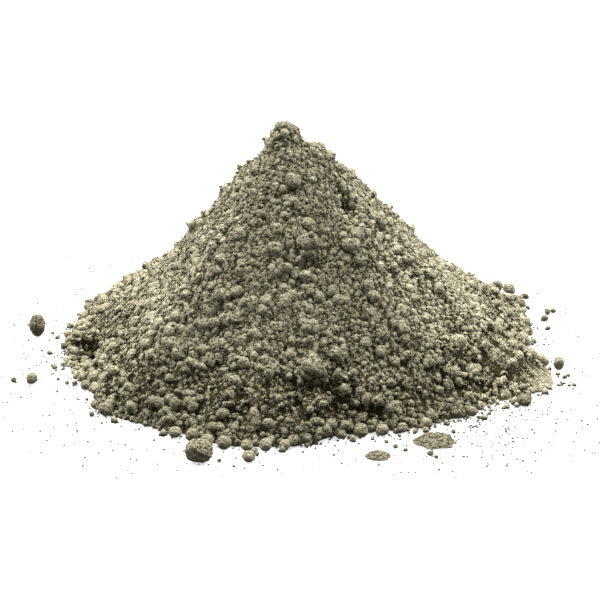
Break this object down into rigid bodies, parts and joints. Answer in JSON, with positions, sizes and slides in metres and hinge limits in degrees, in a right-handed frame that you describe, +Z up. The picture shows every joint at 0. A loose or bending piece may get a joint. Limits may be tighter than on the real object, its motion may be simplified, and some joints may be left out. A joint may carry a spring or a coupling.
{
  "type": "heap of cement powder",
  "caption": "Cone-shaped heap of dry grey cement powder on a flat foot, with round caked lumps buried in it, resting against it and lying clear of it.",
  "frame": {"origin": "on the heap's flat underside, plumb under the middle of its cone", "axes": "+Z up, -Y towards the front of the picture, +X to the right seen from the front"},
  "size_m": [0.3838, 0.3714, 0.164],
  "materials": {
    "cement_powder": "dry matt powder, crumbly",
    "cement_lump": "dry matt caked powder"
  },
  "bodies": {
    "root": {"cement_heap": "cement_powder", "spill_front": "cement_powder", "spill_front_right": "cement_powder", "lump_front_large": "cement_lump", "lump_front_small": "cement_lump", "lump_left_tall": "cement_lump", "lump_left_round": "cement_lump", "lump_left_tiny": "cement_lump", "lump_right_tall": "cement_lump", "lump_right_front": "cement_lump", "lump_back_right": "cement_lump", "foot_lump_01": "cement_lump", "foot_lump_02": "cement_lump", "foot_lump_03": "cement_lump", "foot_lump_04": "cement_lump", "foot_lump_05": "cement_lump", "foot_lump_06": "cement_lump", "foot_lump_07": "cement_lump", "foot_lump_08": "cement_lump", "foot_lump_09": "cement_lump", "foot_lump_10": "cement_lump", "foot_lump_11": "cement_lump", "foot_lump_12": "cement_lump", "foot_lump_13": "cement_lump", "foot_lump_14": "cement_lump", "foot_lump_15": "cement_lump", "foot_lump_16": "cement_lump", "foot_lump_17": "cement_lump", "foot_lump_18": "cement_lump", "foot_lump_19": "cement_lump", "foot_lump_20": "cement_lump", "foot_lump_21": "cement_lump", "foot_lump_22": "cement_lump", "foot_lump_23": "cement_lump", "foot_lump_24": "cement_lump", "foot_lump_25": "cement_lump", "foot_lump_26": "cement_lump", "foot_lump_27": "cement_lump", "foot_lump_28": "cement_lump", "foot_lump_29": "cement_lump", "foot_lump_30": "cement_lump", "foot_lump_31": "cement_lump", "foot_lump_32": "cement_lump", "foot_lump_33": "cement_lump", "foot_lump_34": "cement_lump"}
  },
  "joints": []
}
